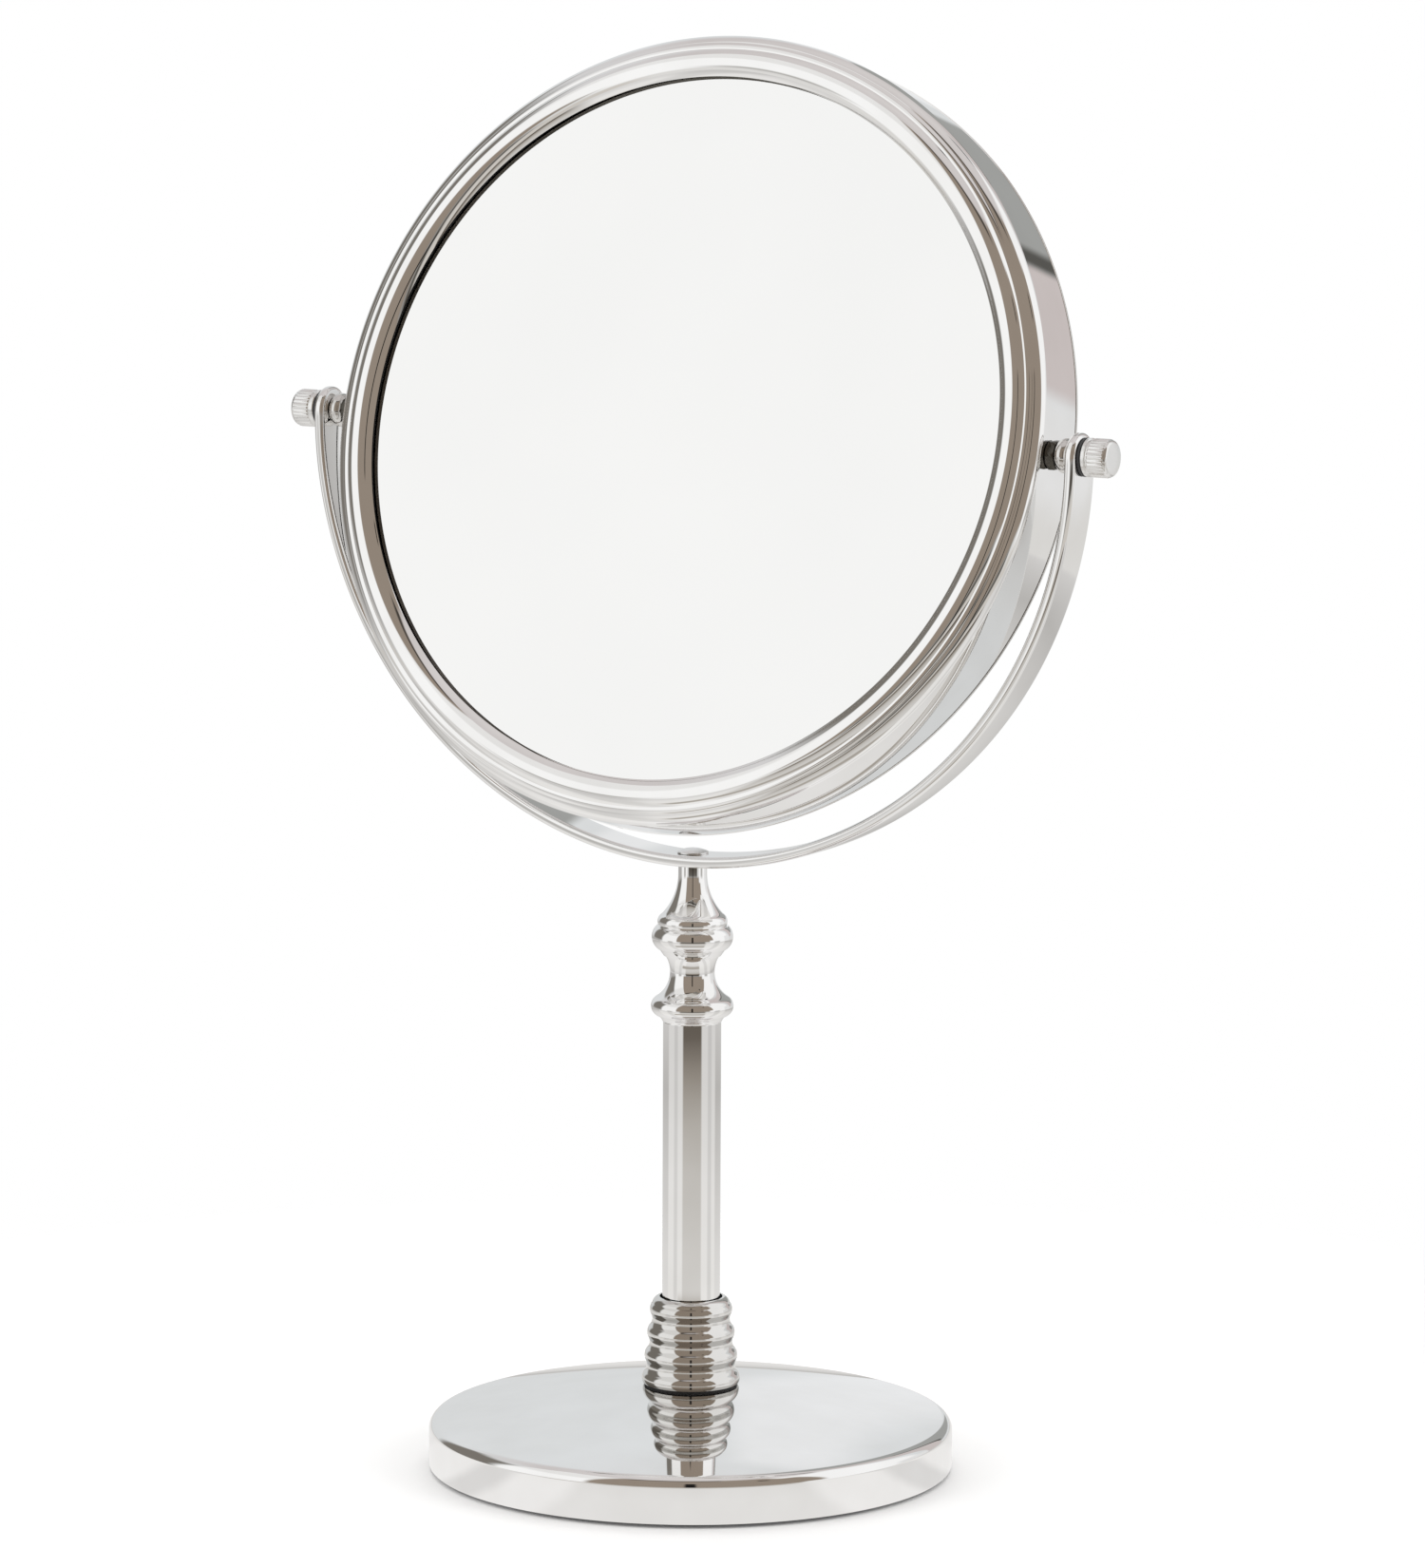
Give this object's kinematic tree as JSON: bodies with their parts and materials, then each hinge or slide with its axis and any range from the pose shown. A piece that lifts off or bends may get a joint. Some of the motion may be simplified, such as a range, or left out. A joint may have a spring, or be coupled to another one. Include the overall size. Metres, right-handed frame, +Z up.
{
  "type": "pedestal shaving mirror",
  "caption": "Round chrome table mirror on a weighted base with a telescopic stem; the double-sided head tilts in a U-shaped yoke between thumb nuts.",
  "frame": {"origin": "middle of the underside of the base, on the surface that the mirror stands on", "axes": "+Z up along the stem, the flat mirror faces -Y, and the tilt axis lies along X"},
  "size_m": [0.2398, 0.136, 0.3698],
  "materials": {
    "chrome": "bright polished plating",
    "steel": "zinc plated",
    "mirror_glass": "silvered glass",
    "black_rubber": "matt foam rubber",
    "iron": "black lacquered casting",
    "black_nylon": "matt",
    "white_nylon": "matt",
    "grey_plastic": "matt moulding"
  },
  "bodies": {
    "base": {"foot_pad": "black_rubber", "base_shell": "chrome", "base_weight": "iron", "base_bolt": "steel", "base_washer": "steel", "tube_foot_plug": "steel", "collar_gasket": "black_rubber", "stem_collar": "chrome", "stem_tube": "chrome", "lower_finial": "chrome", "guide_bush": "white_nylon"},
    "stem_slider": {"friction_sleeve": "white_nylon"},
    "yoke_arm": {"inner_rod": "chrome", "sleeve_washer": "steel", "sleeve_screw": "steel", "upper_finial": "chrome", "yoke": "chrome", "yoke_screw": "chrome", "left_knob_washer": "black_nylon", "right_knob_washer": "black_nylon"},
    "mirror_head": {"frame_band": "chrome", "front_bezel": "chrome", "rear_bezel": "chrome", "front_glass": "mirror_glass", "rear_glass": "mirror_glass", "front_gasket": "black_rubber", "rear_gasket": "black_rubber", "mirror_spacer": "grey_plastic", "left_pivot_stud": "steel", "right_pivot_stud": "steel", "left_stud_nut": "steel", "right_stud_nut": "steel", "left_ball_spacer": "chrome", "right_ball_spacer": "chrome"},
    "left_thumb_nut": {"left_knob": "chrome"},
    "right_thumb_nut": {"right_knob": "chrome"}
  },
  "joints": [
    {"name": "stem_slide", "type": "slide", "parent": "base", "child": "stem_slider", "axis": [0, 0, 1], "range_m": [0, 0.05]},
    {"name": "head_swivel", "type": "hinge", "parent": "stem_slider", "child": "yoke_arm", "pos_m": [0, 0, 0.14], "axis": [0, 0, 1], "continuous": true},
    {"name": "mirror_tilt", "type": "hinge", "parent": "yoke_arm", "child": "mirror_head", "pos_m": [0, 0, 0.27], "axis": [1, 0, 0], "continuous": true},
    {"name": "left_knob_turn", "type": "hinge", "parent": "mirror_head", "child": "left_thumb_nut", "pos_m": [-0.117, 0, 0.27], "axis": [-1, 0, 0], "range_deg": [0, 360]},
    {"name": "right_knob_turn", "type": "hinge", "parent": "mirror_head", "child": "right_thumb_nut", "pos_m": [0.117, 0, 0.27], "axis": [1, 0, 0], "range_deg": [0, 360]}
  ]
}
